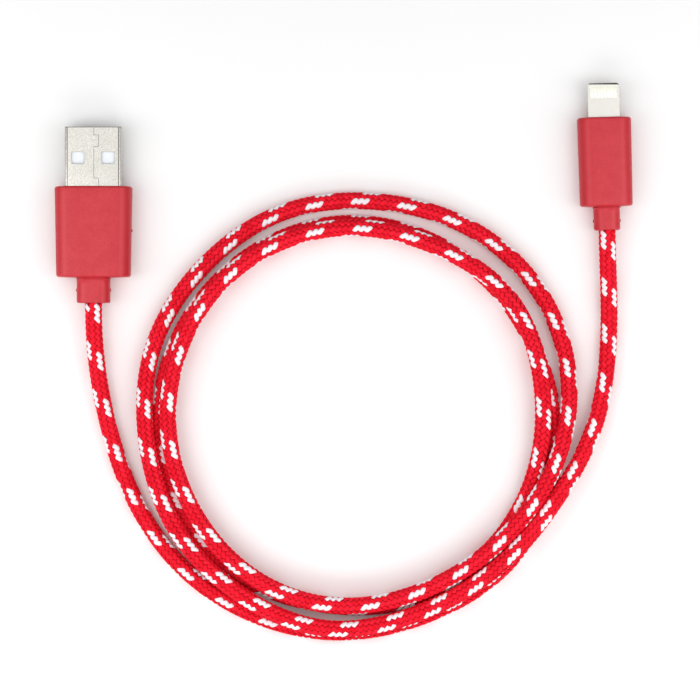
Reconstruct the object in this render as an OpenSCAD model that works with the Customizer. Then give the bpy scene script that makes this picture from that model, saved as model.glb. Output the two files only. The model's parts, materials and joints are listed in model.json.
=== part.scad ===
// Braided charging cable: a host plug and a reversible device plug on one free cord.
// Both plugs lie flat on the table at z = 0 and point along +Y; the cord lies in loops below them.
// Each plug is drawn in its own frame, with the mouth of its neck at the origin and its tip
// along +Y, and is then put where the cord ends.

/* [Cord] */
// Outside diameter of the braided cord
cord_d = 3.5; // [2.5:0.1:4.5]
// Diameter of the inner jacket where the braid is cut back
jacket_d = 2.7; // [2:0.1:3.6]
// Diameter of one insulated wire
wire_d = 0.8; // [0.5:0.05:1]
// How far the braided cord runs into each plug
cord_grip = 8; // [6:0.5:10]
// How far the inner jacket runs past the cut braid
jacket_l = 2; // [1:0.5:3]

/* [Host plug] */
// Width of the metal sleeve
sleeve_w = 12; // [10:0.1:15]
// Height of the metal sleeve
sleeve_h = 4.5; // [3.6:0.1:5.5]
// Thickness of the sleeve's sheet metal
sleeve_t = 0.3; // [0.2:0.05:0.5]
// Length of the sleeve outside the overmould
sleeve_out = 12.6; // [10:0.1:16]
// Length of the sleeve held inside the overmould
sleeve_in = 6.2; // [5:0.1:8]
// Width of a latch window in the sleeve
window_w = 2.7; // [2:0.1:3.2]
// Length of a latch window in the sleeve
window_l = 2.5; // [2:0.1:3]
// Distance between the centres of the two windows
window_gap = 6.4; // [5.5:0.1:6.8]
// Thickness of the plastic tongue
tongue_t = 1.9; // [1.5:0.1:2.2]
// Width of the overmould at its front
host_w = 16.5; // [15:0.1:20]
// Width of the overmould at its rear
host_rear_w = 15.8; // [14.5:0.1:19.5]
// Length of the overmould without its neck
host_l = 19.3; // [17:0.1:24]
// Height of the overmould
host_h = 7.6; // [6.5:0.1:9.5]
// Width of the neck
host_neck_w = 7.1; // [5.5:0.1:9]
// Height of the neck
host_neck_h = 5.6; // [5:0.1:6.5]
// Length of the neck
host_neck_l = 5.5; // [4:0.1:7]

/* [Device plug] */
// Width of the metal tongue
blade_w = 6.7; // [5.6:0.1:8]
// Thickness of the metal tongue
blade_t = 1.5; // [1.2:0.1:2]
// Length of the tongue outside the overmould
blade_out = 7.3; // [5.8:0.1:8.5]
// Length of the tongue held inside the overmould
blade_in = 3; // [2:0.1:4]
// Width of the block that carries the contacts
insert_w = 5.8; // [4.8:0.1:6]
// Length of the block that carries the contacts
insert_l = 2.9; // [2.4:0.1:3.5]
// Width of the overmould at its front
device_w = 11.5; // [10.5:0.1:14]
// Width of the overmould at its rear
device_rear_w = 11.2; // [10:0.1:13.5]
// Length of the overmould without its neck
device_l = 18.9; // [16:0.1:23]
// Height of the overmould
device_h = 6.8; // [5.8:0.1:8.2]
// Width of the neck
device_neck_w = 5.6; // [5:0.1:7]
// Height of the neck
device_neck_h = 5; // [4.6:0.1:6]
// Length of the neck
device_neck_l = 5.1; // [4:0.1:6.2]
// Length of the circuit board
board_l = 7.5; // [6:0.1:9]
// Thickness of the circuit board
board_t = 0.6; // [0.4:0.1:0.8]

/* [Hidden] */
$fn = 48;
eps = 0.01;

// Where the cord leaves each plug, and how far the device plug is turned to the left
host_exit = [-53.1, -23.3];
device_exit = [56.2, -7.8];
device_turn = 1.6;

// The cord's control points, from the host plug to the device plug: an open lead, two turns
// and a half that lie on each other, and the other lead. z is 1.8 on the table and about
// 5.4 where the cord lies on itself. The cord is the uniform cubic B-spline of these points.
route = [
    [-53.1, -23.3, host_h / 2], [-53.1, -31, 3.6], [-51.7, -44, 1.8], [-46.7, -62.5, 1.8],
    [-36.5, -79.5, 1.8], [-19.5, -91, 1.8], [0.5, -95, 1.8], [20, -90, 1.8],
    [37, -79.5, 1.8], [46.5, -60, 1.8], [44.5, -40, 1.8], [36, -21.5, 1.8],
    [20, -9, 1.8], [0, -4.5, 1.8], [-19.5, -11, 1.8], [-34, -25.5, 1.8],
    [-40.5, -45, 1.8], [-38, -65.5, 1.8], [-25.5, -81.5, 1.8], [-6, -88.5, 1.8],
    [14, -88.5, 1.8], [31.5, -78, 1.7], [42, -61, 3.2], [43.5, -41, 5.8],
    [37.5, -21, 5.6], [19.5, -10, 5.4], [0, -5.5, 5.2], [-20, -12, 5.4],
    [-33.5, -26.5, 5.4], [-39, -47, 4.8], [-34, -66.5, 5], [-21, -82.5, 5.4],
    [-1.5, -89.5, 5.4], [19, -85, 5.4], [35.5, -73.5, 5.8], [47, -57, 6.4],
    [49.5, -37, 2], [42, -18, 1.8], [26, -5, 1.8], [6, -0.5, 1.8],
    [-14, -2.5, 1.8], [-30.5, -14.5, 1.8], [-42, -31.5, 1.8], [-43, -51.5, 5],
    [-37.5, -71.5, 4.8], [-23.5, -85.5, 5.2], [-4.5, -94.5, 5.4], [15.5, -90.5, 5.4],
    [33.5, -80.5, 5.5], [46, -65, 5.5], [55.5, -48, 2.2], [57, -28, 1.8],
    [56.4, -16, 3.2], [56.2, -7.8, device_h / 2],
];
ring_count = 80;
ring_sides = 8;

// Positions along the host plug, from the mouth of the neck
host_front = host_neck_l + host_l;
sleeve_rear = host_front - sleeve_in;
host_tip = host_front + sleeve_out;
window_y = host_tip - 6.6;
// Positions along the device plug
device_front = device_neck_l + device_l;
blade_rear = device_front - blade_in;
device_tip = device_front + blade_out;
board_front = blade_rear;
board_rear = board_front - board_l;
jacket_front = cord_grip + jacket_l;

// Corner radii of the two overmoulds, their necks and the sleeve
mould_r = 2.4;
neck_r = 1.6;
sleeve_r = 0.6;
// The seam's folded joint: width of the gap, how far the tabs reach across, where they lie
seam_gap = 0.08;
seam_x = 0.2;
tab_reach = 1;
tab_start = 1.75;
tab_end = 4.2;
rear_tab_start = 10.9;
// Clearance between the insulator and the sleeve
sleeve_fit = 0.05;
insulator_w = sleeve_w - 2 * (sleeve_t + sleeve_fit);
insulator_h = sleeve_h - 2 * (sleeve_t + sleeve_fit);
// Radius along the insulator, the same as inside the sleeve
insulator_r = sleeve_r - sleeve_t;
// The insulator's block fills the sleeve behind the receptacle's space, the tongue is in front
block_l = 5.6;
tongue_back = 0.4;
// Contacts: width, thickness, free length on the tongue and length of the solder tail
contact_w = 1;
contact_t = 0.25;
contact_long = 7.4;
contact_short = 6.4;
contact_tail = 1.8;
// How far the contacts stand proud of the tongue
contact_proud = 0.08;
// Centre of each host contact, in the order power, data minus, data plus, ground
contact_x = [3.5, 1, -1, -3.5];
// Depth of the contacts on the tongue
contact_z = insulator_h / 2 - tongue_t - contact_proud + contact_t / 2;
// Offset of each wire from the cord's axis where it leaves the jacket
wire_out = 0.58;
wire_at = [[1, 1], [1, -1], [-1, 1], [-1, -1]];
// Solder: diameter and how far it reaches behind the tail
solder_d = 1.1;
solder_l = 0.9;
// Device plug: contact pads, carrier core and shoulder of the metal tongue
pad_count = 8;
pad_pitch = 0.68;
pad_w = 0.42;
pad_t = 0.2;
pad_l = 2.3;
insert_back = 0.4;
core_w = 4.6;
core_t = 0.7;
blade_r = 0.6;
shoulder_w = blade_w + 1.5;
shoulder_t = blade_t + 1;
shoulder_l = 2;
detent_r = 0.55;
detent_back = 4.9;
board_w = 6;
// Chips and capacitors: width, length and height
control_chip = [2.2, 2.6, 0.7];
switch_chip = [1.6, 1.6, 0.55];
capacitor = [0.5, 1, 0.5];
capacitor_pitch = 0.85;
inner_mould_w = board_w + 2.6;
inner_mould_h = device_h - 2.2;
// The wires' pads along the rear edge of the board
board_pad_x = [0.8, 2.4, -0.8, -2.4];
board_pad_l = 1.2;
// Moulding pips on the sides of the necks and of the host overmould
pip_r = 0.4;
pip_out = 0.25;

red = [0.8, 0.2, 0.24];
nickel = [0.82, 0.81, 0.77];
gold = [0.85, 0.68, 0.3];
wire_colors = [[0.8, 0.05, 0.05], [0.93, 0.93, 0.9], [0.1, 0.5, 0.2], [0.08, 0.08, 0.08]];

// ---- Shapes used by both plugs ----

module in_host() translate([host_exit.x, host_exit.y, host_h / 2]) children();

module in_device()
    translate([device_exit.x, device_exit.y, device_h / 2]) rotate([0, 0, device_turn]) children();

// A flat rounded rectangle with true arcs
module rounded_rect(w, h, r) {
    square([w - 2 * r, h], center = true);
    square([w, h - 2 * r], center = true);
    for (x = [-1, 1], y = [-1, 1])
        translate([x * (w / 2 - r), y * (h / 2 - r)]) circle(r);
}

// A rounded rectangle across X and Z, drawn out along Y from one place to another
module along(from, to, w, h, r)
    translate([0, to, 0]) rotate([90, 0, 0]) linear_extrude(to - from) rounded_rect(w, h, r);

module box_along(from, to, w, h) translate([-w / 2, from, -h / 2]) cube([w, to - from, h]);

module rod(from, to, d) {
    way = to - from;
    turn = atan2(way.y, way.x);
    lean = atan2(norm([way.x, way.y]), way.z);
    translate(from) rotate([0, lean, turn]) cylinder(d = d, h = norm(way));
}

// A straight body whose sides taper a little towards the rear
module tapered_body(from, to, rear_w, front_w, h, r)
    intersection() {
        along(from, to, front_w, h, r);
        translate([0, 0, -h])
            linear_extrude(2 * h)
                polygon([[-rear_w / 2, from], [rear_w / 2, from], [front_w / 2, to], [-front_w / 2, to]]);
    }

module pip(x, y) translate([x, y, 0]) rotate([0, 90, 0]) cylinder(r = pip_r, h = 2 * pip_out, center = true);

// Where wire i leaves the jacket, behind its cut face
function wire_start(i) =
    [wire_out * wire_at[i].x, jacket_front - jacket_l / 2, wire_out * wire_at[i].y];
function host_wire_end(i) = [contact_x[i], sleeve_rear - contact_tail - solder_l / 2, contact_z];
function board_wire_end(i) =
    [board_pad_x[i], board_rear + board_pad_l / 2, board_t / 2 + wire_d / 2];

module jacket_end(wire_ends)
    difference() {
        translate([0, cord_grip, 0]) rotate([-90, 0, 0]) cylinder(d = jacket_d, h = jacket_l);
        for (i = [0 : 3]) rod(wire_start(i), wire_ends[i], wire_d);
    }

host_wire_ends = [for (i = [0 : 3]) host_wire_end(i)];
board_wire_ends = [for (i = [0 : 3]) board_wire_end(i)];

// ---- Host plug ----

// One straight run of the seam, from corner to corner
module seam_run(x0, y0, x1, y1)
    translate([x0 - seam_gap / 2, y0 - seam_gap / 2])
        square([x1 - x0 + seam_gap, y1 - y0 + seam_gap]);

// The seam from the tip to the rear: straight, round the front tab, straight, round the rear tab
module seam_cut() {
    out_x = seam_x + tab_reach;
    linear_extrude(sleeve_h) {
        seam_run(seam_x, host_tip - tab_start, seam_x, host_tip + 1);
        seam_run(seam_x, host_tip - tab_start, out_x, host_tip - tab_start);
        seam_run(out_x, host_tip - tab_end, out_x, host_tip - tab_start);
        seam_run(seam_x, host_tip - tab_end, out_x, host_tip - tab_end);
        seam_run(seam_x, host_tip - rear_tab_start, seam_x, host_tip - tab_end);
        seam_run(seam_x, host_tip - rear_tab_start, out_x, host_tip - rear_tab_start);
        seam_run(out_x, sleeve_rear - 1, out_x, host_tip - rear_tab_start);
    }
}

module host_shell() color(nickel) in_host()
    difference() {
        along(sleeve_rear, host_tip, sleeve_w, sleeve_h, sleeve_r);
        along(sleeve_rear - 1, host_tip + 1, sleeve_w - 2 * sleeve_t, sleeve_h - 2 * sleeve_t,
            sleeve_r - sleeve_t);
        for (x = [-1, 1])
            translate([x * window_gap / 2, window_y, -sleeve_h])
                linear_extrude(2 * sleeve_h) rounded_rect(window_w, window_l, 0.5);
        seam_cut();
    }

module host_contact_bar(i) {
    reach = i == 0 || i == 3 ? contact_long : contact_short;
    translate([contact_x[i], 0, contact_z])
        box_along(sleeve_rear - contact_tail, sleeve_rear + block_l + reach, contact_w, contact_t);
}

module host_contact(i) color(gold) in_host() host_contact_bar(i);

module host_insulator() color("white") in_host()
    difference() {
        union() {
            along(sleeve_rear, sleeve_rear + block_l, insulator_w, insulator_h, insulator_r);
            intersection() {
                translate([0, 0, (insulator_h - tongue_t) / 2])
                    box_along(sleeve_rear, host_tip - tongue_back, insulator_w, tongue_t);
                along(sleeve_rear, host_tip, insulator_w, insulator_h, insulator_r);
            }
        }
        for (i = [0 : 3]) host_contact_bar(i);
    }

module host_solder()
    for (i = [0 : 3])
        difference() {
            translate([contact_x[i], sleeve_rear - contact_tail - solder_l, contact_z])
                rotate([-90, 0, 0]) cylinder(d = solder_d, h = 2 * solder_l);
            host_contact_bar(i);
            rod(wire_start(i), host_wire_end(i), wire_d);
        }

module host_solder_joints() color("silver") in_host() host_solder();

module host_wire(i) color(wire_colors[i]) in_host() rod(wire_start(i), host_wire_end(i), wire_d);

module host_jacket_end() color("white") in_host() jacket_end(host_wire_ends);

module host_inner_mould() color([0.9, 0.9, 0.86]) in_host()
    difference() {
        along(cord_grip, sleeve_rear, sleeve_w, sleeve_h, sleeve_r);
        translate([0, cord_grip - 1, 0]) rotate([-90, 0, 0]) cylinder(d = jacket_d, h = jacket_l + 1);
        for (i = [0 : 3]) {
            rod(wire_start(i), host_wire_end(i), wire_d);
            host_contact_bar(i);
            translate([contact_x[i], sleeve_rear - contact_tail - solder_l, contact_z])
                rotate([-90, 0, 0]) cylinder(d = solder_d, h = 2 * solder_l);
        }
    }

module host_overmould() color(red) in_host()
    difference() {
        union() {
            tapered_body(host_neck_l, host_front, host_rear_w, host_w, host_h, mould_r);
            along(0, host_neck_l + 1, host_neck_w, host_neck_h, neck_r);
            for (x = [-1, 1]) pip(x * host_neck_w / 2, host_neck_l / 2);
            pip(host_w / 2 - pip_r / 2, host_neck_l + host_l / 2);
        }
        along(cord_grip, host_front + 1, sleeve_w, sleeve_h, sleeve_r);
        translate([0, -1, 0]) rotate([-90, 0, 0]) cylinder(d = cord_d, h = cord_grip + 2);
    }

// ---- Cord ----

// The control points with one more at each end, which makes the spline start and stop on them
route_ends = concat([2 * route[0] - route[1]], route,
    [2 * route[len(route) - 1] - route[len(route) - 2]]);
spans = len(route) - 1;

// The point at u, where whole numbers of u are the joins between the spline's spans
function spline(u) =
    let (k = min(floor(u), spans - 1), t = u - k)
        (pow(1 - t, 3) * route_ends[k] + (3 * pow(t, 3) - 6 * t * t + 4) * route_ends[k + 1]
            + (3 * (t + t * t - pow(t, 3)) + 1) * route_ends[k + 2] + pow(t, 3) * route_ends[k + 3]) / 6;

function unit(v) = v / norm(v);

// Into the plugs, along their axes
host_inside = route[0] + [0, cord_grip, 0];
device_inside = route[len(route) - 1] + cord_grip * [-sin(device_turn), cos(device_turn), 0];
path = concat([host_inside], [for (i = [0 : ring_count - 3]) spline(i * spans / (ring_count - 3))],
    [device_inside]);

function heading(i) =
    unit(path[min(i + 1, len(path) - 1)] - path[max(i - 1, 0)]);

// One ring of the tube: its corners lie round the path, square to its heading
function ring(i) =
    let (ahead = heading(i), side = unit(cross(ahead, [0, 0, 1])), up = cross(side, ahead))
        [for (j = [0 : ring_sides - 1])
            let (a = 360 * j / ring_sides) path[i] + cord_d / 2 * (cos(a) * side + sin(a) * up)];

module cord() color([0.85, 0.05, 0.12]) {
    n = ring_sides;
    last = len(path) - 1;
    polyhedron(
        points = [for (i = [0 : last]) each ring(i)],
        faces = concat(
            [[for (j = [0 : n - 1]) j]],
            [for (i = [0 : last - 1], j = [0 : n - 1])
                [i * n + j, (i + 1) * n + j, (i + 1) * n + (j + 1) % n, i * n + (j + 1) % n]],
            [[for (j = [n - 1 : -1 : 0]) last * n + j]]
        )
    );
}

// ---- Device plug ----

module blade_plan(w, l, r) {
    translate([0, -l / 2]) rounded_rect(w, l, r);
    translate([0, -l + (l - r) / 2]) square([w, l - r], center = true);
}

insert_front = device_tip - insert_back;
insert_rear = insert_front - insert_l;

module insert_body() {
    box_along(insert_rear, insert_front, insert_w, blade_t);
    box_along(blade_rear, insert_rear + eps, core_w, core_t);
}

module device_frame() color(nickel) in_device()
    difference() {
        union() {
            translate([0, device_tip, -blade_t / 2])
                linear_extrude(blade_t) blade_plan(blade_w, blade_out + blade_in, blade_r);
            along(blade_rear, blade_rear + shoulder_l, shoulder_w, shoulder_t, 0.4);
        }
        insert_body();
        for (x = [-1, 1])
            translate([x * (blade_w / 2 + detent_r / 2), device_tip - detent_back, 0]) sphere(detent_r);
    }

// The eight contact pads on one face; side is 1 for the top and -1 for the bottom
module pads(side)
    for (i = [0 : pad_count - 1])
        translate([(i - (pad_count - 1) / 2) * pad_pitch, (insert_front + insert_rear) / 2,
            side * (blade_t - pad_t) / 2])
            cube([pad_w, pad_l, pad_t], center = true);

module device_insert() color([0.95, 0.95, 0.93]) in_device()
    difference() {
        insert_body();
        pads(1);
        pads(-1);
    }

module device_contacts_top() color(gold) in_device() pads(1);

module device_contacts_bottom() color(gold) in_device() pads(-1);

module board() box_along(board_rear, board_front, board_w, board_t);

// A chip that stands on one face of the board, with its middle at x, y
module chip(size, x, y, side)
    translate([x, y, side * (board_t + size.z) / 2]) cube(size, center = true);

control_y = board_front - 1 - control_chip.y / 2;
capacitor_y = board_front - 1 - capacitor.y / 2;

module control() chip(control_chip, -1.2, control_y, 1);

module switch() chip(switch_chip, 0, control_y, -1);

module capacitor_row() for (i = [0 : 2]) chip(capacitor, 0.8 + i * capacitor_pitch, capacitor_y, 1);

module board_solder()
    for (i = [0 : 3])
        difference() {
            translate([board_pad_x[i] - wire_d / 2, board_rear + 0.1, board_t / 2])
                cube([wire_d, board_pad_l, wire_d / 2]);
            rod(wire_start(i), board_wire_end(i), wire_d);
        }

module device_circuit_board() color([0.05, 0.35, 0.15]) in_device() board();

module device_control_chip() color([0.1, 0.1, 0.1]) in_device() control();

module device_switch_chip() color([0.1, 0.1, 0.1]) in_device() switch();

module device_capacitors() color([0.6, 0.45, 0.3]) in_device() capacitor_row();

module device_solder_joints() color("silver") in_device() board_solder();

module device_wire(i) color(wire_colors[i]) in_device()
    difference() {
        rod(wire_start(i), board_wire_end(i), wire_d);
        board();
    }

module device_jacket_end() color("white") in_device() jacket_end(board_wire_ends);

module device_inner_mould() color([0.9, 0.9, 0.86]) in_device()
    difference() {
        along(cord_grip, blade_rear, inner_mould_w, inner_mould_h, 1);
        translate([0, cord_grip - 1, 0]) rotate([-90, 0, 0]) cylinder(d = jacket_d, h = jacket_l + 1);
        board();
        control();
        switch();
        capacitor_row();
        for (i = [0 : 3]) {
            rod(wire_start(i), board_wire_end(i), wire_d);
            translate([board_pad_x[i] - wire_d / 2, board_rear + 0.1, board_t / 2])
                cube([wire_d, board_pad_l, wire_d / 2]);
        }
    }

module device_overmould() color(red) in_device()
    difference() {
        union() {
            tapered_body(device_neck_l, device_front, device_rear_w, device_w, device_h, mould_r);
            along(0, device_neck_l + 1, device_neck_w, device_neck_h, neck_r);
            for (x = [-1, 1]) pip(x * device_neck_w / 2, device_neck_l / 2);
        }
        along(cord_grip, blade_rear, inner_mould_w, inner_mould_h, 1);
        along(blade_rear - eps, blade_rear + shoulder_l, shoulder_w, shoulder_t, 0.4);
        translate([0, 0, -blade_t / 2])
            linear_extrude(blade_t) translate([0, device_front + 1])
                blade_plan(blade_w, blade_in + 1, blade_r / 2);
        translate([0, -1, 0]) rotate([-90, 0, 0]) cylinder(d = cord_d, h = cord_grip + 2);
    }

host_shell();
host_insulator();
host_contact(0);  // host_contact_power
host_contact(1);  // host_contact_data_minus
host_contact(2);  // host_contact_data_plus
host_contact(3);  // host_contact_ground
host_solder_joints();
host_wire(0);  // host_wire_power
host_wire(1);  // host_wire_data_minus
host_wire(2);  // host_wire_data_plus
host_wire(3);  // host_wire_ground
host_jacket_end();
host_inner_mould();
host_overmould();
cord();
device_frame();
device_insert();
device_contacts_top();
device_contacts_bottom();
device_circuit_board();
device_control_chip();
device_switch_chip();
device_capacitors();
device_solder_joints();
device_wire(0);  // device_wire_power
device_wire(1);  // device_wire_data_minus
device_wire(2);  // device_wire_data_plus
device_wire(3);  // device_wire_ground
device_jacket_end();
device_inner_mould();
device_overmould();
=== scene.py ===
"""A braided charging cable on a white table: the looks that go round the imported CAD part."""

import json
import math

import bmesh
import bpy
import numpy as np
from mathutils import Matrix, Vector


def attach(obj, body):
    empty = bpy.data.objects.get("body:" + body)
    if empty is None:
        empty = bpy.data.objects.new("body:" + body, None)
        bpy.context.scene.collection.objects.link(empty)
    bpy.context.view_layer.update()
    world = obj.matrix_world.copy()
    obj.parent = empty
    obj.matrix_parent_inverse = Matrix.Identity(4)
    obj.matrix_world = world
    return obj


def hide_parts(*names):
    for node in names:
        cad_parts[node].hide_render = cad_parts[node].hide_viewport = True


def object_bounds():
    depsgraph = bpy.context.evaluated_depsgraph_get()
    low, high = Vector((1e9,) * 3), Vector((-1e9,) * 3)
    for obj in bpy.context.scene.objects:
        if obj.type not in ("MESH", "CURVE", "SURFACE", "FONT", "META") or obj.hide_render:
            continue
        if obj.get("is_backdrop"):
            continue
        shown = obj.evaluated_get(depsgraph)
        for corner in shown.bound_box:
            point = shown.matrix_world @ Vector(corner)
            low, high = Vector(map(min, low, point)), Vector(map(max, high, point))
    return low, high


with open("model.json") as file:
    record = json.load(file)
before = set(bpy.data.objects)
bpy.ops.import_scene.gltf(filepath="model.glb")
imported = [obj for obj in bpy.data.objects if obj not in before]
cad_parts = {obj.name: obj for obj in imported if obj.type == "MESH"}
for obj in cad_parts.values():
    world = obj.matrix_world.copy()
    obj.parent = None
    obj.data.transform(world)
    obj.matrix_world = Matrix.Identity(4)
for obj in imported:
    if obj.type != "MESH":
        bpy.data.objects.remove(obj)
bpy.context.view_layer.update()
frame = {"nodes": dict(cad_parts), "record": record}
MM = 0.001

# ---------------------------------------------------------------- sizes, in millimetres

CORD_D = 3.5
HOST_H = 7.6
DEVICE_H = 6.8
HOST_EXIT = (-53.1, -23.3, HOST_H / 2)
DEVICE_EXIT = (56.2, -7.8, DEVICE_H / 2)
DEVICE_TURN = math.radians(1.6)

# The host plug's sleeve: its front edge, and its windows' places, half sizes and distance apart
SLEEVE_FRONT = 14.1
WINDOW_Y = 7.5
WINDOW_X = 3.2
WINDOW_HALF_W, WINDOW_HALF_L = 1.35, 1.25
TONGUE_FRONT = 23.2  # the device tongue's rounded tip lies beyond this, along Y

# The overmoulds; mouth is the width, height and corner radius of the opening round the metal
HOST_MOULD = dict(neck_w=7.1, neck_h=5.6, neck_l=5.5, rear_w=15.8, front_w=16.5, height=HOST_H,
                  length=19.3, mouth=(12.0, 4.5, 0.9))
DEVICE_MOULD = dict(neck_w=5.6, neck_h=5.0, neck_l=5.1, rear_w=11.2, front_w=11.5,
                    height=DEVICE_H, length=18.9, mouth=(6.7, 1.5, 0.5))

# The cord's control points, the same as the CAD part's, from the host plug to the device plug.
# X and Y come from a least-squares fit, rounded to 0.5 mm, and the heights were set.
ROUTE = [
    HOST_EXIT, (-53.1, -31, 3.6), (-51.7, -44, 1.8), (-46.7, -62.5, 1.8),
    (-36.5, -79.5, 1.8), (-19.5, -91, 1.8), (0.5, -95, 1.8), (20, -90, 1.8),
    (37, -79.5, 1.8), (46.5, -60, 1.8), (44.5, -40, 1.8), (36, -21.5, 1.8),
    (20, -9, 1.8), (0, -4.5, 1.8), (-19.5, -11, 1.8), (-34, -25.5, 1.8),
    (-40.5, -45, 1.8), (-38, -65.5, 1.8), (-25.5, -81.5, 1.8), (-6, -88.5, 1.8),
    (14, -88.5, 1.8), (31.5, -78, 1.7), (42, -61, 3.2), (43.5, -41, 5.8),
    (37.5, -21, 5.6), (19.5, -10, 5.4), (0, -5.5, 5.2), (-20, -12, 5.4),
    (-33.5, -26.5, 5.4), (-39, -47, 4.8), (-34, -66.5, 5), (-21, -82.5, 5.4),
    (-1.5, -89.5, 5.4), (19, -85, 5.4), (35.5, -73.5, 5.8), (47, -57, 6.4),
    (49.5, -37, 2), (42, -18, 1.8), (26, -5, 1.8), (6, -0.5, 1.8),
    (-14, -2.5, 1.8), (-30.5, -14.5, 1.8), (-42, -31.5, 1.8), (-43, -51.5, 5),
    (-37.5, -71.5, 4.8), (-23.5, -85.5, 5.2), (-4.5, -94.5, 5.4), (15.5, -90.5, 5.4),
    (33.5, -80.5, 5.5), (46, -65, 5.5), (55.5, -48, 2.2), (57, -28, 1.8),
    (56.4, -16, 3.2), DEVICE_EXIT,
]

# ---------------------------------------------------------------- camera

VIEW_HEIGHT = 800
camera_data = bpy.data.cameras.new("camera")
camera_data.sensor_width = 36
camera_data.lens = 192.4
camera_data.clip_start = 0.05
camera_data.clip_end = 10
camera = bpy.data.objects.new("camera", camera_data)
camera.location = Vector((1.47, -33.3, VIEW_HEIGHT)) * MM
bpy.context.scene.collection.objects.link(camera)
bpy.context.scene.camera = camera

# ---------------------------------------------------------------- the cord's line


def spline_points(control, per_span):
    """The uniform cubic B-spline that starts and ends on its first and last points."""
    p = np.array(control, float)
    q = np.vstack([2 * p[0] - p[1], p, 2 * p[-1] - p[-2]])
    t = np.arange(per_span)[:, None] / per_span
    weights = ((1 - t) ** 3, 3 * t**3 - 6 * t**2 + 4, -3 * t**3 + 3 * t**2 + 3 * t + 1, t**3)
    spans = [sum(w * q[k + i] for i, w in enumerate(weights)) / 6 for k in range(len(p) - 1)]
    return np.vstack([*spans, p[-1]])


def even_steps(points, step):
    """The same line with its points about one step apart."""
    along = np.r_[0, np.cumsum(np.linalg.norm(np.diff(points, axis=0), axis=1))]
    places = np.linspace(0, along[-1], round(along[-1] / step) + 1)
    return np.stack([np.interp(places, along, points[:, i]) for i in range(3)], 1), along[-1]


line, cord_length = even_steps(spline_points(ROUTE, 60), 1.0)
cord_length *= MM
line *= MM


def curve_object(name, points, tilt=None, radius=None):
    """A curve through points, which may carry a tilt and a radius each for the braid to read."""
    data = bpy.data.curves.new(name, "CURVE")
    data.dimensions = "3D"
    data.twist_mode = "Z_UP"
    spline = data.splines.new("POLY")
    spline.points.add(len(points) - 1)
    spline.points.foreach_set("co", np.c_[points, np.ones(len(points))].ravel())
    if tilt is not None:
        spline.points.foreach_set("tilt", tilt)
        spline.points.foreach_set("radius", radius)
    obj = bpy.data.objects.new(name, data)
    bpy.context.scene.collection.objects.link(obj)
    return obj


# ---------------------------------------------------------------- node writing


class Value:
    """A socket that can be used in arithmetic; each operation adds a Math node."""

    def __init__(self, tree, socket):
        self.tree, self.socket = tree, socket

    def math(self, operation, *others):
        node = self.tree.nodes.new("ShaderNodeMath")
        node.operation = operation
        for place, item in enumerate((self, *others)):
            self.tree.put(node.inputs[place], item)
        return Value(self.tree, node.outputs[0])

    def __add__(self, other):
        return self.math("ADD", other)

    def __sub__(self, other):
        return self.math("SUBTRACT", other)

    def __mul__(self, other):
        return self.math("MULTIPLY", other)

    def __truediv__(self, other):
        return self.math("DIVIDE", other)

    def __pow__(self, other):
        return self.math("POWER", other)

    def __rsub__(self, other):
        return (self * -1) + other

    __radd__ = __add__
    __rmul__ = __mul__

    def band(self, start, end):
        """0 before start, 1 after end, and smooth between them."""
        return Value(self.tree, self.tree.node(
            "ShaderNodeMapRange", {"interpolation_type": "SMOOTHSTEP"},
            {"Value": self, "From Min": start, "From Max": end}).outputs[0])


class Tree:
    """Writes the nodes of a material or a Geometry Nodes group."""

    def __init__(self, node_tree):
        self.tree, self.nodes = node_tree, node_tree.nodes

    def put(self, socket, item):
        if isinstance(item, Value):
            item = item.socket
        if isinstance(item, bpy.types.NodeSocket):
            self.tree.links.new(item, socket)
        else:
            socket.default_value = item

    def node(self, kind, settings=None, sockets=None):
        node = self.nodes.new(kind)
        for name, setting in (settings or {}).items():
            setattr(node, name, setting)
        for name, item in (sockets or {}).items():
            self.put(node.inputs[name], item)
        return node

    def value(self, kind, settings=None, sockets=None, out=0):
        return Value(self, self.node(kind, settings, sockets).outputs[out])

    def attribute(self, name):
        return self.value("ShaderNodeAttribute", {"attribute_name": name}, out="Fac")

    def noise(self, scale, detail, where):
        return self.value("ShaderNodeTexNoise", None,
                          {"Scale": scale, "Detail": detail, "Vector": where}, out="Fac")

    def mix(self, share, first, second):
        """The first colour where share is 0 and the second where it is 1."""
        node = self.nodes.new("ShaderNodeMix")
        node.data_type = "RGBA"
        for place, item in ((0, share), (6, first), (7, second)):
            self.put(node.inputs[place], (*item, 1) if isinstance(item, tuple) else item)
        return Value(self, node.outputs[2])

    def bump(self, height, distance, strength=1.0, normal=None):
        sockets = {"Height": height, "Distance": distance, "Strength": strength}
        if normal is not None:
            sockets["Normal"] = normal
        return self.value("ShaderNodeBump", None, sockets)


def finish_named(name, write, **constants):
    """A material whose nodes write(tree, shader) adds. The constants are set on the shader's own
    sockets."""
    material = bpy.data.materials.new(name)
    material.use_nodes = True
    tree = Tree(material.node_tree)
    shader = tree.nodes["Principled BSDF"]
    for socket, constant in constants.items():
        shader.inputs[socket.replace("_", " ")].default_value = constant
    write(tree, shader)
    return material


def place(tree):
    """Object coordinates, which are the part's own, in metres."""
    return tree.value("ShaderNodeTexCoord", out="Object")


def stretched(tree, scale):
    """Object coordinates times a scale for each axis, for a pattern that runs one way."""
    return tree.value("ShaderNodeVectorMath", {"operation": "MULTIPLY"},
                      {0: place(tree), 1: scale})


# ---------------------------------------------------------------- finishes


ENDS = 5  # bundles of filament side by side in one yarn


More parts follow.
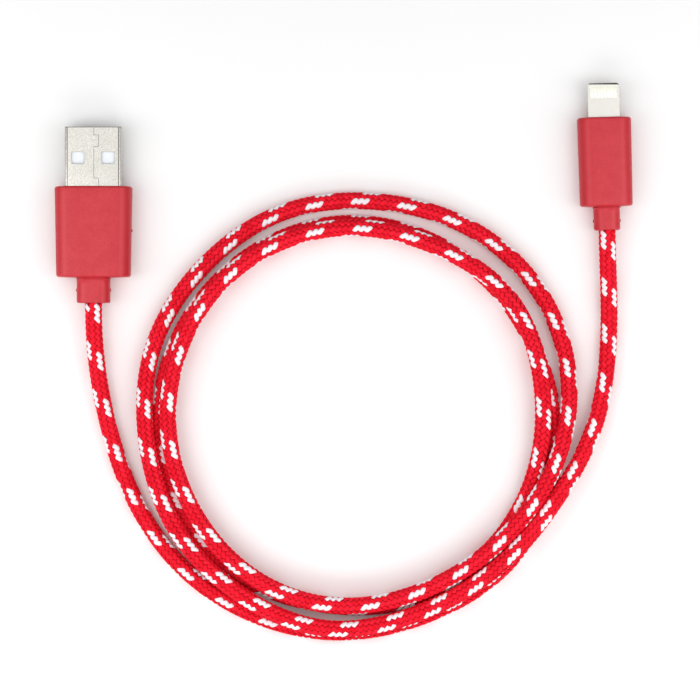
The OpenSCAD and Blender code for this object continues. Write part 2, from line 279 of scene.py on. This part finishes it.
def yarn_finish(name, bright, tone_and_groove_shade, painted_tuck_shade):
    """Braiding yarn: a flat bundle of twisted filaments that run along each float. Its colour holds
    painted shade in the grooves between the filaments, mixed with random tone, and a darker
    painted shade towards its side edges and its ends, where the float tucks under its neighbours."""

    def write(tree, shader):
        weave = tree.node("ShaderNodeSeparateXYZ", None,
                          {"Vector": tree.value("ShaderNodeUVMap", {"uv_map": "weave"})})
        across, along = Value(tree, weave.outputs["Y"]), Value(tree, weave.outputs["X"])
        # Painted shade: the colour darkens towards the float's ends, where it tucks under its
        # neighbours, and towards its side edges.
        tucked_shade_mask = (along * 2 - 1).math("ABSOLUTE").band(0.66, 1.0)
        side = (across * 2 - 1).math("ABSOLUTE").band(0.6, 1.0)
        shade = tree.attribute("yarn_shade")
        fibre = (across * (ENDS * 2 * math.pi)).math("SINE")
        ridge = (fibre + 1) * 0.5
        fuzz = tree.noise(9000, 3, place(tree))
        # Painted shade in the grooves between filaments, mixed with random fuzz and per-yarn tone.
        depth = (ridge * 0.55) + (fuzz * 0.25) + (shade * 0.3)
        lit = tree.mix(depth.band(0.05, 0.8), tone_and_groove_shade, bright)
        tree.put(shader.inputs["Base Color"],
                 tree.mix((tucked_shade_mask * 0.5) + (side * 0.2), lit, painted_tuck_shade))
        tree.put(shader.inputs["Roughness"], 0.8 - (fuzz * 0.18))
        tree.put(shader.inputs["Normal"], tree.bump((ridge * 0.6) + (fuzz * 0.5), 0.00006, 0.8))

    return finish_named(name, write, Specular_IOR_Level=0.06)


def core_finish(tree, shader):
    """The dark red under the braid, seen only in the gaps between yarns."""
    fuzz = tree.noise(2500, 3, place(tree))
    tree.put(shader.inputs["Base Color"], tree.mix(fuzz, (0.3, 0.001, 0.006), (0.45, 0.003, 0.012)))
    tree.put(shader.inputs["Roughness"], 0.75 + (fuzz * 0.2))
    tree.put(shader.inputs["Normal"], tree.bump(fuzz, 0.0001, 0.5))


def overmould_finish(tree, shader):
    """Soft-touch elastomer with the fine spark-eroded grain of its mould. A painted highlight where
    the top curves over and painted shade on the side walls are in its colour."""
    where = place(tree)
    grain = tree.noise(5200, 2, where)
    cloud = tree.noise(420, 3, where)
    blend = (grain * 0.65) + (cloud * 0.35)
    side = tree.attribute("side")
    faces = tree.mix(blend.band(0.3, 0.7), (0.52, 0.016, 0.027), (0.61, 0.034, 0.049))
    # Painted highlight where the top curves over, then painted shade on the side walls, both placed by
    # the side attribute.
    shoulder_highlight = side.band(0.14, 0.3) * (1 - side.band(0.34, 0.56))
    faces = tree.mix(shoulder_highlight * 0.5, faces, (0.63, 0.045, 0.06))
    tree.put(shader.inputs["Base Color"],
             tree.mix(side.band(0.42, 0.72) * 0.8, faces, (0.5, 0.004, 0.014)))
    tree.put(shader.inputs["Roughness"], 0.36 + (blend * 0.18))
    tree.put(shader.inputs["Normal"], tree.bump(grain, 0.00004, 0.6))


def nickel_finish(tree, shader):
    """Nickel plate over rolled sheet: a faint rolling grain along the plug and light rub marks.
    Painted dark reflections lie where the sheet turns over at the long edges and the mouth, and
    painted shade lies round the windows."""
    rolled = tree.noise(900, 4, stretched(tree, (4.0, 0.12, 4.0)))
    cloud = tree.noise(260, 3, place(tree))
    grain = tree.noise(5000, 3, place(tree))
    rubs = tree.noise(2600, 2, stretched(tree, (1.0, 0.05, 1.0))).band(0.62, 0.75)
    spot = tree.node("ShaderNodeSeparateXYZ", None, {"Vector": place(tree)})
    across = (Value(tree, spot.outputs["X"]) - HOST_EXIT[0] * MM).math("ABSOLUTE")
    along = Value(tree, spot.outputs["Y"])
    # Painted dark reflection along the long edges and the mouth, and painted shade round the windows.
    painted_edge_reflection = across.band(5.3 * MM, 5.42 * MM) * (1 - across.band(5.48 * MM, 5.6 * MM))
    mouth = along.band((SLEEVE_FRONT - 0.22) * MM, (SLEEVE_FRONT - 0.1) * MM)
    past_side = (across - WINDOW_X * MM).math("ABSOLUTE") - WINDOW_HALF_W * MM
    past_end = (along - WINDOW_Y * MM).math("ABSOLUTE") - WINDOW_HALF_L * MM
    painted_window_shade = 1 - past_side.math("MAXIMUM", past_end).band(0.02 * MM, 0.2 * MM)
    tree.put(shader.inputs["Base Color"],
             tree.mix((painted_edge_reflection * 0.95).math("MAXIMUM", mouth * 0.8).math("MAXIMUM", painted_window_shade * 0.25),
                      tree.mix((cloud * 0.4) + (grain.band(0.35, 0.65) * 0.6),
                               (0.48, 0.465, 0.42), (0.70, 0.685, 0.64)),
                      (0.1, 0.09, 0.08)))
    tree.put(shader.inputs["Roughness"], 0.15 + (rolled * 0.12) + (rubs * 0.06))
    tree.put(shader.inputs["Normal"], tree.bump(grain, 0.00002, 0.4, tree.bump(rolled, 0.000012, 0.3)))


def tongue_finish(tree, shader):
    """The device tongue's satin nickel, finer than the sheet metal, with a painted dark reflection
    along its tip.
    """
    cloud = tree.noise(700, 3, place(tree))
    grain = tree.noise(6500, 2, place(tree))
    along = Value(tree, tree.node("ShaderNodeSeparateXYZ", None,
                                  {"Vector": place(tree)}).outputs["Y"])
    # A thin band of painted dark reflection along the tongue's tip.
    tree.put(shader.inputs["Base Color"],
             tree.mix(along.band((TONGUE_FRONT - 0.08) * MM, (TONGUE_FRONT + 0.04) * MM),
                      tree.mix(cloud, (0.63, 0.61, 0.57), (0.71, 0.695, 0.655)),
                      (0.07, 0.065, 0.06)))
    tree.put(shader.inputs["Roughness"], 0.22 + (grain * 0.12))
    tree.put(shader.inputs["Normal"], tree.bump(grain, 0.000006, 0.3))


def insulator_finish(first, second):
    """Glass-filled plastic, a little uneven in colour and gloss."""

    def write(tree, shader):
        cloud = tree.noise(900, 3, place(tree))
        tree.put(shader.inputs["Base Color"], tree.mix(cloud, first, second))
        tree.put(shader.inputs["Roughness"], 0.32 + (cloud * 0.15))
        tree.put(shader.inputs["Normal"], tree.bump(cloud, 0.00002, 0.2))

    return write


def contact_finish(tree, shader):
    """Pale gold plate, worn a little along the plug."""
    wear = tree.noise(3000, 3, stretched(tree, (1.0, 0.3, 1.0)))
    tree.put(shader.inputs["Base Color"],
             tree.mix(wear.band(0.35, 0.75), (0.90, 0.88, 0.75), (0.95, 0.94, 0.84)))
    tree.put(shader.inputs["Roughness"], 0.18 + (wear * 0.2))
    tree.put(shader.inputs["Normal"], tree.bump(wear, 0.00001, 0.25))


def speckled(name, first, second, scale, roughness, metallic=0.0):
    """A plain moulded, soldered or printed finish: two close colours and an uneven gloss."""

    def write(tree, shader):
        spots = tree.noise(scale, 3, place(tree))
        tree.put(shader.inputs["Base Color"], tree.mix(spots.band(0.35, 0.65), first, second))
        tree.put(shader.inputs["Roughness"], roughness + (spots * 0.2))
        tree.put(shader.inputs["Normal"], tree.bump(spots, 0.00002, 0.3))

    return finish_named(name, write, Metallic=metallic)


FINISH = {
    "braid_red": yarn_finish("braid_red", (1.0, 0.02, 0.045), (0.68, 0.003, 0.012),
                             (0.42, 0.0, 0.004)),
    # The crossing yarns are the same red yarn as the others, painted a little darker: painted shade.
    "braid_red_cross_shaded": yarn_finish("braid_red_cross_shaded", (1.0, 0.016, 0.04), (0.62, 0.002, 0.01),
                                   (0.38, 0.0, 0.004)),
    "braid_white": yarn_finish("braid_white", (0.98, 0.95, 0.97), (0.86, 0.78, 0.85),
                               (0.72, 0.42, 0.52)),
    "braid_core": finish_named("braid_core", core_finish, Specular_IOR_Level=0.15),
    "overmould": finish_named("overmould", overmould_finish, Specular_IOR_Level=0.4),
    "sheet_nickel": finish_named("sheet_nickel", nickel_finish, Metallic=1.0),
    "tongue_nickel": finish_named("tongue_nickel", tongue_finish, Metallic=1.0),
    "insulator": finish_named("insulator",
                              insulator_finish((0.78, 0.82, 0.89), (0.87, 0.90, 0.95))),
    "contact_block": finish_named("contact_block",
                                  insulator_finish((0.86, 0.86, 0.77), (0.92, 0.92, 0.83))),
    "contacts": finish_named("contacts", contact_finish, Metallic=1.0),
    "solder": speckled("solder", (0.6, 0.6, 0.6), (0.75, 0.75, 0.74), 3000, 0.25, 1.0),
    "wire_red": speckled("wire_red", (0.5, 0.02, 0.02), (0.6, 0.04, 0.03), 2000, 0.4),
    "wire_white": speckled("wire_white", (0.75, 0.75, 0.72), (0.85, 0.85, 0.82), 2000, 0.4),
    "wire_green": speckled("wire_green", (0.02, 0.25, 0.06), (0.04, 0.35, 0.1), 2000, 0.4),
    "wire_black": speckled("wire_black", (0.015, 0.015, 0.015), (0.04, 0.04, 0.04), 2000, 0.4),
    "jacket": speckled("jacket", (0.72, 0.72, 0.7), (0.82, 0.82, 0.8), 2000, 0.45),
    "inner_mould": speckled("inner_mould", (0.7, 0.7, 0.6), (0.8, 0.8, 0.72), 1500, 0.35),
    "board": speckled("board", (0.015, 0.14, 0.05), (0.03, 0.22, 0.08), 2500, 0.3),
    "chips": speckled("chips", (0.02, 0.02, 0.02), (0.045, 0.045, 0.045), 6000, 0.5),
    "capacitors": speckled("capacitors", (0.35, 0.22, 0.12), (0.48, 0.33, 0.2), 5000, 0.5),
}

SLOT_FINISH = {"plug_metal": "sheet_nickel", "braid": "braid_core"}
for part in frame["record"]["subparts"]:
    slot_name = part["material_slot"]
    node_object = frame["nodes"][part["node"]]
    node_object.data.materials.clear()
    node_object.data.materials.append(FINISH[SLOT_FINISH.get(slot_name, slot_name)])
frame["nodes"]["device_frame"].data.materials[0] = FINISH["tongue_nickel"]

# ---------------------------------------------------------------- the braid

LEAD = 10.2 * MM  # one yarn's full turn round the cord
YARNS = 8  # that wind each way
WHITE_YARNS = 3  # side by side, of those that wind clockwise
WHITE_START = 2.2 * MM  # where the middle white yarn crosses the top of the cord
LAY = math.radians(48)  # between a yarn and the cord's axis
YARN_WIDE = LEAD / YARNS * math.sin(LAY)
# A float's distance from the cord's axis at its middle, its side edges and its ends
CROWN_R, EDGE_R, END_R = 1.84 * MM, 1.64 * MM, 1.46 * MM
CORE_R = 1.52 * MM

# How far the cord has turned about its own axis, in degrees, at places along it in millimetres,
# and how far the braid has slipped along it, in millimetres. Both lists were fitted over several
# rounds to this one cord as it lies, with the help of a measuring script. No size gives them.
TURNED = [
    (0, -36), (25, -30), (50, 18), (75, 20), (130, 12), (300, -18), (415, -34), (440, -46),
    (465, -94), (550, -108), (590, -122), (635, -180), (665, -170), (700, -190), (720, -192),
    (758, -186), (790, -213), (840, -210), (920, -226), (940, -246), (958, -198), (978, -194),
    (995, -226), (1015, -216),
]
SLIPPED = [
    (0, -1), (25, -0.8), (50, -0.3), (120, -0.6), (138, -0.9), (160, 0), (180, 0.7), (270, 0.5),
    (335, 0.5), (375, -0.7), (415, -0.3), (435, 1), (480, 0.5), (590, 0.5), (635, -1),
    (665, -0.4), (695, -0.2), (735, 1), (755, 1), (775, 0), (800, -0.2), (865, 0.8), (895, -0.3),
    (935, -0.8), (965, -0.2), (1015, -1),
]


def float_shape(name, way, fuller=1.0):
    """One float: the stretch of a yarn that shows where it lies over two crossing yarns.
    It is centred on +X, with the cord's axis along Z, and its ends dive under their neighbours."""
    rows, columns = 6, 4
    verts, faces, weave = [], [], []
    for i in range(rows + 1):
        p = i / rows * 2 - 1
        taper = 1 - 0.25 * abs(p) ** 5
        for j in range(columns + 1):
            q = j / columns * 2 - 1
            along = p * YARN_WIDE * 1.08 * fuller
            across = q * YARN_WIDE * 0.54 * taper
            turn = (along * math.sin(LAY) - way * across * math.cos(LAY)) / CROWN_R
            rise = way * along * math.cos(LAY) + across * math.sin(LAY)
            r = CROWN_R - (CROWN_R - EDGE_R) * abs(q) ** 2.6 - (CROWN_R - END_R) * abs(p) ** 4
            verts.append((r * math.cos(turn), r * math.sin(turn), rise))
            weave.append((i / rows, j / columns))
    for i in range(rows):
        for j in range(columns):
            a = i * (columns + 1) + j
            faces.append((a, a + columns + 1, a + columns + 2, a + 1))
    mesh = bpy.data.meshes.new(name)
    mesh.from_pydata(verts, [], faces)
    layer = mesh.uv_layers.new(name="weave")
    for loop in mesh.loops:
        layer.data[loop.index].uv = weave[loop.vertex_index]
    mesh.polygons.foreach_set("use_smooth", [True] * len(mesh.polygons))
    return bpy.data.objects.new(name, mesh)


def braid_tree(name):
    """Floats on a line. Float i of the set lies in column i % 4, a quarter turn from the next,
    and step i // 4 along it; each column starts a quarter of a lead before the one beside it."""
    group = bpy.data.node_groups.new(name, "GeometryNodeTree")
    sockets = group.interface.new_socket
    sockets("Geometry", in_out="INPUT", socket_type="NodeSocketGeometry")
    for label, kind in (("Float", "Object"), ("Count", "Int"), ("Pitch", "Float"),
                        ("Start", "Float"), ("Column Lag", "Float"), ("Lead", "Float"),
                        ("Column Turn", "Float"), ("Seed", "Int"), ("Keep From", "Int"),
                        ("Keep To", "Int"), ("Finish", "Material")):
        sockets(label, in_out="INPUT", socket_type="NodeSocket" + kind)
    sockets("Geometry", in_out="OUTPUT", socket_type="NodeSocketGeometry")
    tree = Tree(group)
    given = tree.node("NodeGroupInput")
    asked = {s.name: Value(tree, s) for s in given.outputs if s.name}

    index = tree.value("GeometryNodeInputIndex")
    column = index.math("MODULO", 4)
    step = (index / 4).math("FLOOR")
    even = asked["Start"] + step * asked["Pitch"] - column * asked["Column Lag"]
    # The line's tilt says how far the cord has turned, and its radius, less 1, how far it slipped
    tilt = tree.value("GeometryNodeInputCurveTilt")
    slip = tree.value("GeometryNodeInputRadius") - 1
    shift = slip - tilt * asked["Lead"] / (2 * math.pi)
    along = even
    for _ in range(3):  # a float's place depends on the shift there
        there = tree.node("GeometryNodeSampleCurve",
                          {"mode": "LENGTH", "use_all_curves": True, "data_type": "FLOAT"},
                          {"Curves": asked["Geometry"], "Value": shift, "Length": along})
        along = even + Value(tree, there.outputs["Value"])

    line_points = tree.node("GeometryNodePoints", None, {"Count": asked["Count"]})
    sampled = tree.node("GeometryNodeSampleCurve", {"mode": "LENGTH", "use_all_curves": True},
                        {"Curves": asked["Geometry"], "Length": along})
    length = tree.value("GeometryNodeCurveLength", None, {"Curve": asked["Geometry"]})
    order = step.math("MODULO", YARNS)
    keep_low = order.math("GREATER_THAN", asked["Keep From"] - 0.5)
    keep_high = order.math("LESS_THAN", asked["Keep To"] + 0.5)
    on_cord = along.math("GREATER_THAN", 0.0) * length.math("GREATER_THAN", along)
    drop = 1 - keep_low * keep_high * on_cord

    placed = tree.node("GeometryNodeSetPosition", None,
                       {"Geometry": line_points.outputs[0], "Position": sampled.outputs["Position"]})
    along_z = tree.node("FunctionNodeAlignRotationToVector", {"axis": "Z"},
                        {"Vector": sampled.outputs["Tangent"]})
    aligned = tree.node("FunctionNodeAlignRotationToVector", {"axis": "X", "pivot_axis": "Z"},
                        {"Rotation": along_z.outputs[0], "Vector": sampled.outputs["Normal"]})
    turn = column * (math.pi / 2) + asked["Column Turn"]
    spin = tree.node("FunctionNodeAxisAngleToRotation", None,
                     {"Axis": (0.0, 0.0, 1.0), "Angle": turn})
    rotated = tree.node("FunctionNodeRotateRotation", {"rotation_space": "LOCAL"},
                        {"Rotation": aligned.outputs[0], "Rotate By": spin.outputs[0]})
    source = tree.node("GeometryNodeObjectInfo", None, {"Object": asked["Float"]})
    copies = tree.node("GeometryNodeInstanceOnPoints", None,
                       {"Points": placed.outputs[0], "Instance": source.outputs["Geometry"],
                        "Rotation": rotated.outputs[0], "Selection": 1 - drop})
    shade = tree.node("FunctionNodeRandomValue", {"data_type": "FLOAT"},
                      {"Seed": asked["Seed"]})
    stored = tree.node("GeometryNodeStoreNamedAttribute",
                       {"data_type": "FLOAT", "domain": "INSTANCE"},
                       {"Geometry": copies.outputs[0], "Name": "yarn_shade",
                        "Value": shade.outputs[1]})
    real = tree.node("GeometryNodeRealizeInstances", None, {"Geometry": stored.outputs[0]})
    coated = tree.node("GeometryNodeSetMaterial", None,
                       {"Geometry": real.outputs[0], "Material": asked["Finish"]})
    result = tree.node("NodeGroupOutput")
    tree.put(result.inputs[0], coated.outputs[0])
    return group


BRAID = braid_tree("braid_floats")


def grown(name, base, group, inputs):
    """The plain mesh that a Geometry Nodes group makes on base, as a new object."""
    modifier = base.modifiers.new("grow", "NODES")
    modifier.node_group = group
    labels = {s.name: s.identifier for s in group.interface.items_tree if s.in_out == "INPUT"}
    for label, item in inputs.items():
        modifier[labels[label]] = item
    graph = bpy.context.evaluated_depsgraph_get()
    mesh = bpy.data.meshes.new_from_object(base.evaluated_get(graph), depsgraph=graph)
    base.modifiers.remove(modifier)
    mesh.name = name
    obj = bpy.data.objects.new(name, mesh)
    bpy.context.scene.collection.objects.link(obj)
    return obj


places = np.linspace(0, cord_length / MM, len(line))
braid_line = curve_object("braid_line", line, np.radians(np.interp(places, *zip(*TURNED))),
                          1 + np.interp(places, *zip(*SLIPPED)) * MM)
floats = [float_shape("float_white", -1, 1.12), float_shape("float_red", -1),
          float_shape("float_crossing", 1)]
for shape in floats:
    bpy.context.scene.collection.objects.link(shape)

step = LEAD / YARNS
float_count = 4 * (math.ceil(cord_length / step) + 3 * YARNS)
for name, shape, low, high, seed, finish in (
    ("braid_white_yarns", floats[0], 0, WHITE_YARNS - 1, 3, "braid_white"),
    ("braid_red_yarns", floats[1], WHITE_YARNS, YARNS - 1, 5, "braid_red"),
    ("braid_crossing_yarns", floats[2], 0, YARNS - 1, 7, "braid_red_cross_shaded"),
):
    crossing = shape is floats[2]
    piece = grown(name, braid_line, BRAID, {
        "Float": shape, "Count": float_count, "Pitch": step,
        "Start": WHITE_START - LEAD - step + (step / 2 if crossing else 0),
        "Column Lag": LEAD / 4, "Lead": LEAD,
        "Column Turn": -math.pi / 2 + (math.pi / 4 if crossing else 0.0), "Seed": seed,
        "Keep From": low, "Keep To": high, "Finish": FINISH[finish],
    })
    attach(piece, "root")

cord = curve_object("cord_core", line)
cord.data.bevel_depth = CORE_R
cord.data.bevel_resolution = 4
cord.data.materials.append(FINISH["braid_core"])
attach(cord, "root")
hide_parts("cord")
for helper in [braid_line, *floats]:
    bpy.data.objects.remove(helper)

# ---------------------------------------------------------------- moulded bodies


def rounded_ring(width, height, radius, y, corner=8, side=5):
    """Points round a rounded rectangle across X and Z at y, in millimetres."""
    radius = min(radius, width / 2 - 1e-4, height / 2 - 1e-4)
    ring = []
    for sx, sz, start in ((1, 1, 0), (-1, 1, 90), (-1, -1, 180), (1, -1, 270)):
        for k in range(corner + 1):
            a = math.radians(start + 90 * k / corner)
            ring.append((sx * (width / 2 - radius) + radius * math.cos(a),
                         y, sz * (height / 2 - radius) + radius * math.sin(a)))
    full = []
    for k, point in enumerate(ring):
        full.append(point)
        if k % (corner + 1) == corner:
            following = ring[(k + 1) % len(ring)]
            full += [tuple(a + (b - a) * m / (side + 1) for a, b in zip(point, following))
                     for m in range(1, side + 1)]
    return full


def lofted(name, rings, node, turn, at, pips):
    """An overmould's closed skin through rings of equal counts, the last joined to the first,
    with its pips. It stands for the CAD node, turned about Z and put at its place."""
    mesh = bmesh.new()
    made = [[mesh.verts.new(p) for p in ring] for ring in rings]
    count = len(rings[0])
    for a, b in zip(made, made[1:] + made[:1]):
        for k in range(count):
            mesh.faces.new((a[k], a[(k + 1) % count], b[(k + 1) % count], b[k]))
    bmesh.ops.remove_doubles(mesh, verts=mesh.verts, dist=1e-5)
    for add in pips:
        add(mesh)
    bmesh.ops.recalc_face_normals(mesh, faces=mesh.faces)
    cos, sin = math.cos(turn), math.sin(turn)
    for v in mesh.verts:
        x, y, z = v.co
        v.co = ((at[0] + x * cos - y * sin) * MM, (at[1] + x * sin + y * cos) * MM,
                (at[2] + z) * MM)
    data = bpy.data.meshes.new(name)
    mesh.to_mesh(data)
    mesh.free()
    data.polygons.foreach_set("use_smooth", [True] * len(data.polygons))
    # The side attribute places the overmould's painted highlight and painted shade.
    side = data.attributes.new("side", "FLOAT", "POINT")  # 0 on broad faces, 1 on side walls
    side.data.foreach_set("value", [abs(v.normal.x) for v in data.vertices])
    data.materials.append(FINISH["overmould"])
    obj = bpy.data.objects.new(name, data)
    bpy.context.scene.collection.objects.link(obj)
    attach(obj, "root")
    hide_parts(node)
    return obj


def mould_rings(neck_w, neck_h, neck_l, rear_w, front_w, height, length, mouth):
    """The overmould's skin from the neck's bore, round the outside, to the mouth at the front."""
    fillet, neck_fillet, neck_r, side_r = 0.55, 0.35, 2.2, 3.05
    mouth_w, mouth_h, mouth_r = mouth
    front = neck_l + length
    rings = [rounded_ring(CORD_D, CORD_D, CORD_D / 2, 2.0),
             rounded_ring(CORD_D, CORD_D, CORD_D / 2, 0.15),
             rounded_ring(CORD_D + 0.3, CORD_D + 0.3, CORD_D / 2 + 0.15, 0.0)]

    def neck(y, inset=0.0):
        rings.append(rounded_ring(neck_w - 2 * inset, neck_h - 2 * inset, neck_r - inset / 2, y))

    def body(y, inset=0.0):
        share = (y - neck_l) / length
        width = rear_w + (front_w - rear_w) * share
        rings.append(rounded_ring(width - 2 * inset, height - 2 * inset, side_r - inset / 2, y))

    arc = [math.radians(15 * k) for k in range(7)]
    neck(0.0, neck_fillet)
    for a in arc[1:]:
        neck(neck_fillet * (1 - math.cos(a)), neck_fillet * (1 - math.sin(a)))
    for y in (1.2, 2.4, 3.6, neck_l - neck_fillet):
        neck(y)
    for a in arc[1:]:
        neck(neck_l - neck_fillet * math.cos(a), -neck_fillet * (1 - math.sin(a)))
    rings.pop()
    body(neck_l, fillet + 0.02)
    for a in arc[1:]:
        body(neck_l + fillet * (1 - math.cos(a)), fillet * (1 - math.sin(a)))
    for k in range(1, 9):
        body(neck_l + fillet + (length - 2 * fillet) * k / 9)
    for a in reversed(arc):
        body(front - fillet * (1 - math.cos(a)), fillet * (1 - math.sin(a)))
    rings.append(rounded_ring(mouth_w + 0.5, mouth_h + 0.5, mouth_r + 0.2, front))
    rings.append(rounded_ring(mouth_w + 0.1, mouth_h + 0.1, mouth_r, front - 0.12))
    rings.append(rounded_ring(mouth_w + 0.04, mouth_h + 0.04, mouth_r, front - 2.0))
    return rings


def pip(x, y):
    """A low round pip on a side wall, left by the mould."""
    radius, proud = 0.38, 0.2

    def add(mesh):
        facing = 1 if x > 0 else -1
        rings = [[mesh.verts.new((x + facing * proud * math.sin(up),
                                  y + radius * math.cos(up) * math.cos(t),
                                  radius * math.cos(up) * math.sin(t)))
                  for t in (math.radians(30 * k) for k in range(12))]
                 for up in (math.radians(a) for a in (-40, 0, 30, 60))]
        for a, b in zip(rings, rings[1:]):
            for k in range(12):
                mesh.faces.new((a[k], a[(k + 1) % 12], b[(k + 1) % 12], b[k]))
        mesh.faces.new(rings[-1])
        mesh.faces.new(rings[0][::-1])

    return add


def neck_pips(mould, y):
    """A pip on each side of the neck."""
    return [pip(side * mould["neck_w"] / 2, y) for side in (1, -1)]


lofted("host_overmould_skin", mould_rings(**HOST_MOULD), "host_overmould", 0.0, HOST_EXIT,
       [*neck_pips(HOST_MOULD, 2.75), pip(8.12, 15.4)])
device_mould = lofted("device_overmould_skin", mould_rings(**DEVICE_MOULD), "device_overmould",
                      DEVICE_TURN, DEVICE_EXIT, neck_pips(DEVICE_MOULD, 2.0))


def eased_copy(name, node, finish, ease, front=None):
    """A CAD node's shape with its hard edges rounded, as a piece that stands for the node.
    Edges beyond front, along Y, are rounded by the whole of ease and the others by 0.4 of it."""
    mesh = bmesh.new()
    mesh.from_mesh(frame["nodes"][node].data)
    bmesh.ops.remove_doubles(mesh, verts=mesh.verts, dist=1e-6)
    bmesh.ops.dissolve_limit(mesh, angle_limit=math.radians(1), verts=mesh.verts,
                             edges=mesh.edges)
    weight = mesh.edges.layers.float.new("bevel_weight_edge")
    for edge in mesh.edges:
        if len(edge.link_faces) == 2 and edge.calc_face_angle(0) > math.radians(35):
            ahead = front is None or min(v.co.y for v in edge.verts) > front * MM
            edge[weight] = 1.0 if ahead else 0.4
    data = bpy.data.meshes.new(name)
    mesh.to_mesh(data)
    mesh.free()
    data.materials.append(FINISH[finish])
    obj = bpy.data.objects.new(name, data)
    bpy.context.scene.collection.objects.link(obj)
    bevel = obj.modifiers.new("ease", "BEVEL")
    bevel.limit_method, bevel.width, bevel.segments = "WEIGHT", ease * MM, 3
    obj.modifiers.new("weigh", "WEIGHTED_NORMAL").keep_sharp = True
    data.polygons.foreach_set("use_smooth", [True] * len(data.polygons))
    graph = bpy.context.evaluated_depsgraph_get()
    eased = bpy.data.meshes.new_from_object(obj.evaluated_get(graph), depsgraph=graph)
    obj.modifiers.clear()
    obj.data = eased
    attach(obj, "root")
    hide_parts(node)
    return obj


eased_copy("host_sleeve", "host_shell", "sheet_nickel", 0.07)
for name, node, finish, ease, front, slot in (
    ("device_tongue", "device_frame", "tongue_nickel", 0.28, TONGUE_FRONT, "plug_metal"),
    ("device_contact_block", "device_insert", "contact_block", 0.03, None, "insulator"),
    ("device_contact_row_top", "device_contacts_top", "contacts", 0.015, None, "contacts"),
    ("device_contact_row_bottom", "device_contacts_bottom", "contacts", 0.015, None, "contacts"),
):
    eased_copy(name, node, finish, ease, front)

# ---------------------------------------------------------------- table and light


def table_finish(tree, shader):
    """Matt white board."""
    cloud = tree.noise(60, 3, place(tree))
    tree.put(shader.inputs["Base Color"],
             tree.mix(cloud, (0.93, 0.93, 0.93), (0.945, 0.945, 0.945)))
    tree.put(shader.inputs["Roughness"], 0.7 + (cloud * 0.1))


table_mesh = bpy.data.meshes.new("table")
half = 3.0
table_mesh.from_pydata([(-half, -half, 0), (half, -half, 0), (half, half, 0), (-half, half, 0)],
                       [], [(0, 1, 2, 3)])
table_mesh.materials.append(finish_named("table", table_finish, Specular_IOR_Level=0.2))
table = bpy.data.objects.new("table", table_mesh)
table.location.z = -0.00002
bpy.context.scene.collection.objects.link(table)
table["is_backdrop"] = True


def softbox(name, spot, toward, size, power):
    """A flat lamp at spot that faces a point."""
    light = bpy.data.lights.new(name, "AREA")
    light.shape, light.size, light.size_y = "RECTANGLE", *size
    light.energy = power
    obj = bpy.data.objects.new(name, light)
    obj.location = spot
    obj.rotation_mode = "QUATERNION"
    obj.rotation_quaternion = (Vector(toward) - Vector(spot)).to_track_quat("-Z", "Y")
    bpy.context.scene.collection.objects.link(obj)


middle = Vector((0.0015, -0.033, 0.0))
for name, x, y, power in (("left", -1, 0, 0.16), ("right", 1, 0, 0.155), ("near", 0, -1, 0.15)):
    spot = middle + Vector((0.17 * x, 0.17 * y, 0.14))
    size = (0.09, 0.26) if x else (0.26, 0.09)
    softbox(f"softbox_{name}", spot, middle, size, power)

# A white sky, brightest overhead and dimmer low down and towards the far side
world = bpy.data.worlds.new("studio")
bpy.context.scene.world = world
world.use_nodes = True
sky = Tree(world.node_tree)
toward = sky.node("ShaderNodeSeparateXYZ", None,
                  {"Vector": sky.value("ShaderNodeTexCoord", out="Generated")})
up = Value(sky, toward.outputs["Z"]).math("MAXIMUM", 0.0)
far = Value(sky, toward.outputs["Y"]).math("MAXIMUM", 0.0)
sky.put(sky.nodes["Background"].inputs["Color"], (1, 1, 1, 1))
sky.put(sky.nodes["Background"].inputs["Strength"],
        (up ** 1.8 * 1.21 + 0.1) * (1 - far * 0.5))
bpy.context.scene.view_settings.view_transform = "Standard"

# ---------------------------------------------------------------- sizes and end

low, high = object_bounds()
